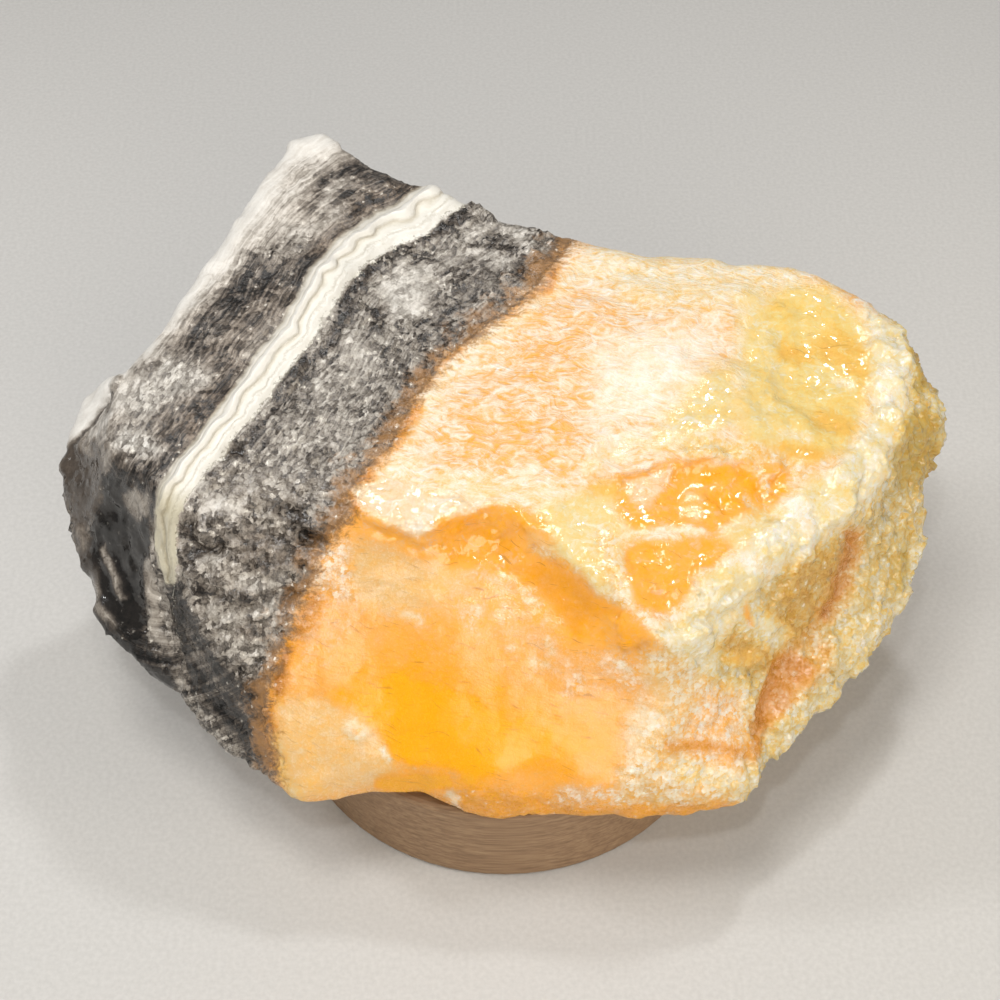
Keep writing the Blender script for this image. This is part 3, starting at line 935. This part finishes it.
# How rough the grit makes it, how far its crystals tilt, also in glassy stone, and how high grit, felt and the
# vein's folds stand in the bump.
GRIT_ROUGHNESS = 0.3
CRYSTAL_TILT = (0.55, 0.55, 0.55)
GLASSY_TILT = 0.35
GRIT_HEIGHT = 0.8
FELT_HEIGHT = 1.2
FOLD_HEIGHT = 1.8

CHARCOAL_TO_WHITE = [
    (0.0, "#0C0B0A"), (0.16, "#2A2623"), (0.32, "#57514B"), (0.5, "#8A847C"), (0.66, "#B0ABA3"),
    (0.82, "#D5D1CA"), (1.0, "#E9E7E2"),
]
ORANGE_TO_CREAM = [
    (0.0, "#FFB200"), (0.1, "#FFAE14"), (0.22, "#FDB03C"), (0.36, "#F7B35A"), (0.48, "#F0BB80"),
    (0.6, "#F2CCA4"), (0.72, "#F5DCC2"), (0.85, "#F4E7D7"), (1.0, "#F4F0E8"),
]
HONEY_TO_CREAM = [
    (0.0, "#CF9F42"), (0.2, "#E2B65C"), (0.36, "#EBC569"), (0.5, "#EACF84"), (0.64, "#E8D69D"),
    (0.8, "#E9E0C0"), (1.0, "#F0EDE2"),
]
UMBER_TO_CREAM = [
    (0.0, "#6B3A18"), (0.2, "#9A5E2C"), (0.36, "#BD7D42"), (0.5, "#CB9460"), (0.65, "#D8AF83"),
    (0.8, "#E4CBA8"), (1.0, "#F2E6D2"),
]
# Across the vein from left to right: a white rope, a shaded line, and a granular ivory half.
VEIN_LAYERS = [
    (0.0, "#CFC9BC"), (0.07, "#E9E5DC"), (0.13, "#DAD5C9"), (0.18, "#ECE9E2"), (0.38, "#EAE7DF"),
    (0.45, "#CFC8B8"), (0.5, "#E4DFD2"), (0.56, "#EFECE3"), (0.66, "#EAE8E0"), (0.72, "#D5D1C6"),
    (0.78, "#EAE8E1"), (0.96, "#E2DFD6"), (1.0, "#8E897B"),
]
# How high its folds stand, on the same scale, in greys.
VEIN_FOLDS = [
    (0.0, "#000000"), (0.08, "#A0A0A0"), (0.13, "#808080"), (0.25, "#FFFFFF"), (0.38, "#E0E0E0"),
    (0.45, "#505050"), (0.56, "#B8B8B8"), (0.66, "#B0B0B0"), (0.72, "#707070"), (0.8, "#909090"),
    (1.0, "#000000"),
]
UMBER_TINT = "#C0A080"
OLIVE_TINT = "#C8C0A0"
BROWN_SEAM = "#9C754B"
PARTING_BROWN = "#9C6426"
SPARKLE = "#FFFBF0"


def calcite_patterns(tree, place, layer):
    """The stone's patterns by name. Glinting, parted, gap, grainy and glassy are shares, the rest about 0."""
    per_strand = [1 / size for size in FELT_STRAND]
    per_streak = (1 / STREAK_WIDTH, 1 / STREAK_LENGTH, 0.0)
    strands = add(tree, "VectorMath", {0: place, 1: per_strand}, operation="MULTIPLY")
    streaks = add(tree, "CombineXYZ", {"X": layer["streak_across"], "Y": layer["streak_along"]})
    streaks = add(tree, "VectorMath", {0: streaks, 1: per_streak}, operation="MULTIPLY")
    inputs = {
        "cloud": {"Vector": place, "Scale": 1 / CLOUD_SIZE, "Detail": 3.0, "Roughness": 0.6},
        "felt": {"Vector": strands, "Scale": 1.0, "Detail": 4.0, "Roughness": 0.64, "Distortion": 1.6},
        "grit": {"Vector": place, "Scale": 1 / GRIT_SIZE, "Detail": 1.5, "Roughness": 0.8},
        "streak": {"Vector": streaks, "Scale": 1.0, "Detail": 2.0, "Roughness": 0.65},
    }
    noise = {name: add(tree, "TexNoise", inputs[name]) for name in inputs}
    pattern = {name: add(tree, "Math", {0: noise[name], 1: MIDDLE}, operation="SUBTRACT") for name in noise}
    pattern["streak"] = add(tree, "Math", {0: pattern["streak"], 1: layer["fibre"]}, operation="MULTIPLY")
    pattern["parted"] = add(tree, "MapRange", {
        "Value": noise["streak"], "From Min": 0.64, "From Max": 0.68, "To Max": 0.4,
    })

    shaken = {0: pattern["grit"], 1: CRYSTAL_SHAKE, 2: place}
    shaken = add(tree, "VectorMath", shaken, operation="MULTIPLY_ADD")
    crystals = {"Vector": shaken, "Scale": 1 / CRYSTAL_SIZE}
    crystals = add(tree, "TexVoronoi", crystals, "Color", distance="MANHATTAN")
    from_tip = crystals.node.outputs["Distance"]
    number = add(tree, "SeparateColor", {"Color": crystals}, "Red")
    tip = add(tree, "MapRange", {
        "Value": from_tip, "From Min": 0.26, "From Max": 0.36, "To Min": 1.0, "To Max": 0.0,
    })
    glinting = add(tree, "MapRange", {"Value": number, "From Min": 0.83, "From Max": 0.87})
    glinting = add(tree, "Math", {0: glinting, 1: tip}, operation="MULTIPLY")
    pattern["glinting"] = add(tree, "Math", {0: glinting, 1: layer["grain"]}, operation="MULTIPLY")
    gap = add(tree, "MapRange", {"Value": from_tip, "From Min": 0.6, "From Max": 1.1})
    pattern["gap"] = add(tree, "Math", {0: gap, 1: layer["grain"]}, operation="MULTIPLY")
    pattern["crystal"] = add(tree, "Math", {0: number, 1: MIDDLE}, operation="SUBTRACT")
    pattern["crystal_tilt"] = add(tree, "VectorMath", {0: crystals, 1: [MIDDLE] * 3}, operation="SUBTRACT")

    grainy = add(tree, "MapRange", {"Value": layer["grain"], "To Min": 0.15, "To Max": 1.0})
    pattern["grainy"] = grainy
    pattern["glassy"] = add(tree, "MapRange", {"Value": layer["wet"], "From Min": 0.7, "From Max": 0.9})
    pattern["speckle"] = add(tree, "Math", {0: grainy, 1: pattern["grit"]}, operation="MULTIPLY")
    pattern["felt_speckle"] = add(tree, "Math", {0: grainy, 1: pattern["felt"]}, operation="MULTIPLY")
    pattern["facet"] = add(tree, "Math", {0: layer["grain"], 1: pattern["crystal"]}, operation="MULTIPLY")
    return pattern


def grey_calcite(tree, layer, pattern):
    """The grey end, with the ivory vein through it."""
    tone = layer["tone"]
    for name, weight in GREY_WEIGHTS.items():
        tone = add(tree, "Math", {0: pattern[name], 1: weight, 2: tone}, operation="MULTIPLY_ADD")
    grey = add(tree, "ValToRGB", {"Fac": tone}, stops=CHARCOAL_TO_WHITE)

    # The vein is soft along its left side and toothed by crystals along its right.
    toothed = {"Value": layer["vein_across"], "From Max": 0.9, "To Min": 0.1, "To Max": 0.6}
    toothed = add(tree, "MapRange", toothed)
    across = {0: pattern["grit"], 1: toothed, 2: layer["vein_across"]}
    across = add(tree, "Math", across, operation="MULTIPLY_ADD")
    toothed = add(tree, "Math", {0: toothed, 1: VEIN_TEETH}, operation="MULTIPLY")
    across = add(tree, "Math", {0: pattern["crystal"], 1: toothed, 2: across}, operation="MULTIPLY_ADD")
    left_edge = {"Value": across, "From Min": -1.25, "From Max": -0.85}
    left_edge = add(tree, "MapRange", left_edge, interpolation_type="SMOOTHSTEP")
    right_edge = {"Value": across, "From Min": 0.98, "From Max": 1.04, "To Min": 1.0, "To Max": 0.0}
    right_edge = add(tree, "MapRange", right_edge)
    in_vein = add(tree, "Math", {0: left_edge, 1: right_edge}, operation="MULTIPLY")
    profile = add(tree, "MapRange", {"Value": across, "From Min": -1.0, "From Max": 1.0})
    profile = add(tree, "Math", {0: pattern["cloud"], 1: VEIN_CLOUDING, 2: profile}, operation="MULTIPLY_ADD")
    ivory = add(tree, "ValToRGB", {"Fac": profile}, stops=VEIN_LAYERS)
    grey = add(tree, "Mix", {"Factor": in_vein, UNDER: grey, OVER: ivory}, MIXED, data_type="RGBA")

    warmth = add(tree, "Math", {0: layer["brown"], 1: BROWNING}, operation="MULTIPLY")
    tint = {"Factor": in_vein, UNDER: linear(UMBER_TINT), OVER: linear(OLIVE_TINT)}
    tint = add(tree, "Mix", tint, MIXED, data_type="RGBA")
    warmed = {"Factor": warmth, UNDER: grey, OVER: tint}
    return add(tree, "Mix", warmed, MIXED, data_type="RGBA", blend_type="MULTIPLY")


def orange_calcite(tree, layer, pattern):
    """The orange stone, from clear orange, honey or rust to cream and white."""
    felted = add(tree, "MapRange", {"Value": layer["fibre"], "From Min": 0.3, "To Min": 0.25, "To Max": 1.35})
    frosting = add(tree, "MapRange", {
        "Value": pattern["felt"], "From Min": 0.05, "From Max": 0.13, "To Max": 0.14,
    })
    cream = layer["cream"]
    creaming = [(pattern["felt"], felted), (pattern["cloud"], CREAM_CLOUDING), (frosting, pattern["glassy"])]
    creaming += [(pattern[name], weight) for name, weight in ORANGE_WEIGHTS.items()]
    for shift, weight in creaming:
        cream = add(tree, "Math", {0: shift, 1: weight, 2: cream}, operation="MULTIPLY_ADD")
    orange, honey, rust = [
        add(tree, "ValToRGB", {"Fac": cream}, stops=stops)
        for stops in (ORANGE_TO_CREAM, HONEY_TO_CREAM, UMBER_TO_CREAM)
    ]
    warm = add(tree, "Mix", {"Factor": layer["yellow"], UNDER: orange, OVER: honey}, MIXED, data_type="RGBA")
    rusty = {0: pattern["cloud"], 1: RUST_CLOUDING, 2: layer["deep"]}
    rusty = add(tree, "Math", rusty, operation="MULTIPLY_ADD")
    rusty = add(tree, "Math", {0: rusty, 1: layer["deep"]}, operation="MULTIPLY", use_clamp=True)
    rusty = add(tree, "Math", {0: rusty, 1: RUST_CURVE}, operation="POWER")
    warm = add(tree, "Mix", {"Factor": rusty, UNDER: warm, OVER: rust}, MIXED, data_type="RGBA")

    # Thin brown partings run along the streaks, where the stone is neither grainy nor pale.
    smooth = add(tree, "MapRange", {
        "Value": layer["grain"], "From Min": 0.12, "From Max": 0.2, "To Min": 1.0, "To Max": 0.0,
    })
    clear = add(tree, "MapRange", {
        "Value": layer["cream"], "From Min": 0.4, "From Max": 0.65, "To Min": 1.0, "To Max": 0.3,
    })
    parted = add(tree, "Math", {0: pattern["parted"], 1: smooth}, operation="MULTIPLY")
    parted = add(tree, "Math", {0: parted, 1: clear}, operation="MULTIPLY")
    warm = {"Factor": parted, UNDER: warm, OVER: linear(PARTING_BROWN)}
    warm = add(tree, "Mix", warm, MIXED, data_type="RGBA")

    smoked = add(tree, "MapRange", {"Value": layer["brown"], "From Min": 0.8, "From Max": 1.0})
    smoked = {"Factor": smoked, UNDER: warm, OVER: linear(OLIVE_TINT)}
    return add(tree, "Mix", smoked, MIXED, data_type="RGBA", blend_type="MULTIPLY")


def across_seam(tree, pattern, edge, grey, orange):
    """Both kinds of stone, and between them a brown seam some 4 mm wide, mottled into both."""
    seam_edge = add(tree, "Math", {0: pattern["cloud"], 1: SEAM_BY_CLOUD, 2: edge}, operation="MULTIPLY_ADD")
    in_seam = {"Value": seam_edge, "From Min": -5.5, "From Max": 1.0}
    in_seam = add(tree, "MapRange", in_seam, interpolation_type="SMOOTHSTEP")
    in_orange = {"Value": edge, "From Min": -0.8, "From Max": 3.0}
    in_orange = add(tree, "MapRange", in_orange, interpolation_type="SMOOTHSTEP")
    browned = {"Factor": in_seam, UNDER: grey, OVER: linear(BROWN_SEAM)}
    browned = add(tree, "Mix", browned, MIXED, data_type="RGBA")
    return add(tree, "Mix", {"Factor": in_orange, UNDER: browned, OVER: orange}, MIXED, data_type="RGBA")


def broken_surface(tree, layer, pattern):
    """Its roughness and normal: wet stone is smooth, grit dulls the rest, and each crystal is tilted."""
    roughness = add(tree, "MapRange", {"Value": layer["wet"], "To Min": 0.55, "To Max": 0.08})
    dulled = add(tree, "MapRange", {
        "Value": layer["wet"], "From Min": 0.55, "From Max": 0.9, "To Min": 1.0, "To Max": 0.2,
    })
    dulled = add(tree, "Math", {0: dulled, 1: pattern["grit"]}, operation="MULTIPLY")
    roughness = add(tree, "Math", {0: dulled, 1: GRIT_ROUGHNESS, 2: roughness}, operation="MULTIPLY_ADD")

    tilting = {0: pattern["glassy"], 1: GLASSY_TILT, 2: layer["grain"]}
    tilting = add(tree, "Math", tilting, operation="MULTIPLY_ADD")
    tilt = add(tree, "VectorMath", {0: pattern["crystal_tilt"], "Scale": tilting}, operation="SCALE")
    facing = add(tree, "NewGeometry", {}, "Normal")
    facing = add(tree, "VectorMath", {0: tilt, 1: CRYSTAL_TILT, 2: facing}, operation="MULTIPLY_ADD")
    facing = add(tree, "VectorMath", {0: facing}, operation="NORMALIZE")

    dulled = add(tree, "Math", {0: dulled, 1: pattern["grainy"]}, operation="MULTIPLY")
    felted = add(tree, "Math", {0: pattern["felt"], 1: layer["fibre"]}, operation="MULTIPLY")
    folds = add(tree, "MapRange", {"Value": layer["vein_across"], "From Min": -1.0, "From Max": 1.0})
    folds = add(tree, "ValToRGB", {"Fac": folds}, stops=VEIN_FOLDS)
    height = pattern["streak"]
    for raised, weight in ((dulled, GRIT_HEIGHT), (felted, FELT_HEIGHT), (folds, FOLD_HEIGHT)):
        height = add(tree, "Math", {0: raised, 1: weight, 2: height}, operation="MULTIPLY_ADD")
    bump = {"Height": height, "Normal": facing, "Strength": 0.8, "Distance": 0.45 * MM}
    return roughness, add(tree, "Bump", bump)


def banded_calcite():
    material, tree, place = start_material("banded_calcite")
    layer = {name: add(tree, "Attribute", {}, "Fac", attribute_name=name) for name in SURFACE_LAYERS}
    pattern = calcite_patterns(tree, place, layer)
    edge = layer["orange_side"]
    for name, reach in (("felt", SEAM_BY_FELT), ("grit", SEAM_BY_GRIT)):
        edge = add(tree, "Math", {0: pattern[name], 1: reach, 2: edge}, operation="MULTIPLY_ADD")
    grey = grey_calcite(tree, layer, pattern)
    orange = orange_calcite(tree, layer, pattern)
    colour = across_seam(tree, pattern, edge, grey, orange)
    colour = {"Factor": pattern["glinting"], UNDER: colour, OVER: linear(SPARKLE)}
    colour = add(tree, "Mix", colour, MIXED, data_type="RGBA")
    roughness, normal = broken_surface(tree, layer, pattern)

    # Light goes some way into the orange stone, and red light farthest.
    light_inside = add(tree, "MapRange", {
        "Value": edge, "From Min": -1.0, "From Max": 1.0, "To Min": 0.0, "To Max": 0.3,
    })
    shader = add(tree, "BsdfPrincipled", {
        "Base Color": colour, "Roughness": roughness, "Normal": normal, "IOR": CALCITE_IOR,
        "Subsurface Weight": light_inside, "Subsurface Scale": LIGHT_REACH * MM,
        "Subsurface Radius": LIGHT_SHARES,
    })
    add(tree, "OutputMaterial", {"Surface": shader})
    return material


# A pale hardwood, turned and sanded, left dry: fine long grain along X with finer pores in it. Sizes are in
# millimetres along X, Y and Z.
WOOD_GRAIN = (16.667, 1.25, 0.76923)
WOOD_PORES = (8.3333, 0.41667, 0.41667)
PORE_SHARE = 0.35
WOOD_COLOURS = [(0.25, "#7C6248"), (0.45, "#907357"), (0.6, "#9E8162"), (0.8, "#AD9171")]


def turned_wood():
    material, tree, place = start_material("turned_wood")
    along_grain = add(tree, "Mapping", {"Vector": place, "Scale": [1 / size for size in WOOD_GRAIN]})
    grain = add(tree, "TexNoise", {"Vector": along_grain, "Scale": 1.0, "Detail": 5.0, "Roughness": 0.6})
    along_pores = add(tree, "Mapping", {"Vector": place, "Scale": [1 / size for size in WOOD_PORES]})
    pores = add(tree, "TexNoise", {"Vector": along_pores, "Scale": 1.0, "Detail": 2.0})
    figure = add(tree, "Math", {0: pores, 1: PORE_SHARE, 2: grain}, operation="MULTIPLY_ADD")
    figure = add(tree, "Math", {0: figure, 1: PORE_SHARE * MIDDLE}, operation="SUBTRACT")
    colour = add(tree, "ValToRGB", {"Fac": figure}, stops=WOOD_COLOURS)
    surface = add(tree, "Bump", {"Height": figure, "Strength": 0.35, "Distance": 0.25 * MM})
    shader = {"Base Color": colour, "Roughness": 0.62, "Normal": surface, "IOR": 1.5}
    shader = add(tree, "BsdfPrincipled", shader)
    add(tree, "OutputMaterial", {"Surface": shader})
    return material


def dress_stand():
    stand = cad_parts["wooden_stand"]
    stand.data.materials.clear()
    stand.data.materials.append(turned_wood())


# Pale paper under a soft light: matt, with a tooth just coarse enough to show.
FLOOR_REACH = 4000.0
PAPER_TOOTH = 1.1111
PAPER_COLOURS = [(0.3, "#C9C8C6"), (0.7, "#D2D1CF")]


def pale_paper():
    material, tree, place = start_material("pale_paper")
    tooth = add(tree, "TexNoise", {"Vector": place, "Scale": 1 / PAPER_TOOTH, "Detail": 2.0})
    colour = add(tree, "ValToRGB", {"Fac": tooth}, stops=PAPER_COLOURS)
    shader = add(tree, "BsdfPrincipled", {"Base Color": colour, "Roughness": 0.9})
    add(tree, "OutputMaterial", {"Surface": shader})
    return material


def make_floor():
    mesh = bpy.data.meshes.new("studio_floor")
    corners = [Vector((x, y, 0)) * FLOOR_REACH * MM for x, y in ((-1, -1), (1, -1), (1, 1), (-1, 1))]
    mesh.from_pydata(corners, [], [(0, 1, 2, 3)])
    mesh.materials.append(pale_paper())
    floor = bpy.data.objects.new("studio_floor", mesh)
    bpy.context.scene.collection.objects.link(floor)


# The studio: soft light all round, and lamps, each with its place, aim, width, watts and colour.
STUDIO_WHITE = "#F1EFEC"
STUDIO_STRENGTH = 0.26
LAMPS = [
    ("key", (-140, -60, 800), (0, 20, 60), 260, 1.9, "#FFFBF4"),
    ("front_fill", (140, -690, 380), (0, 10, 50), 500, 2.35, "#FFF6E8"),
    ("right_fill", (640, -260, 360), (40, 10, 50), 300, 0.9, "#FFF6E8"),
    ("glint", (120, 260, 620), (20, 20, 70), 60, 0.8, "#FFFFFF"),
    ("left_glint", (-420, 60, 420), (-20, 20, 70), 90, 0.7, "#FFFFFF"),
    ("brow_glint", (-40, -300, 640), (0, 0, 60), 45, 0.55, "#FFFFFF"),
]


def add_lamp(name, place, aim, width, watts, colour):
    lamp = bpy.data.lights.new(name, "AREA")
    lamp.shape = "DISK"
    lamp.size = width * MM
    lamp.energy = watts
    lamp.color = linear(colour)[:3]
    made = bpy.data.objects.new(name, lamp)
    made.location = Vector(place) * MM
    made.rotation_euler = (Vector(aim) - Vector(place)).to_track_quat("-Z", "Y").to_euler()
    bpy.context.scene.collection.objects.link(made)


def make_studio():
    world = bpy.data.worlds.new("studio")
    bpy.context.scene.world = world
    world.use_nodes = True
    background = world.node_tree.nodes["Background"]
    background.inputs["Color"].default_value = linear(STUDIO_WHITE)
    background.inputs["Strength"].default_value = STUDIO_STRENGTH
    for lamp in LAMPS:
        add_lamp(*lamp)
    make_floor()


def make_camera():
    camera = bpy.data.cameras.new("reference_view")
    camera.angle = VIEW_ANGLE
    camera.clip_start = NEAREST_SEEN * MM
    camera.clip_end = FARTHEST_SEEN * MM
    made = bpy.data.objects.new("reference_view", camera)
    made.location = Vector((VIEW_TARGET + TO_CAMERA * VIEW_DISTANCE) * MM)
    made.rotation_euler = (math.pi / 2 - VIEW_ELEVATION, 0, 0)
    bpy.context.scene.collection.objects.link(made)
    bpy.context.scene.camera = made


make_camera()
make_studio()
make_stone()
dress_stand()
bpy.context.scene.view_settings.view_transform = "Standard"
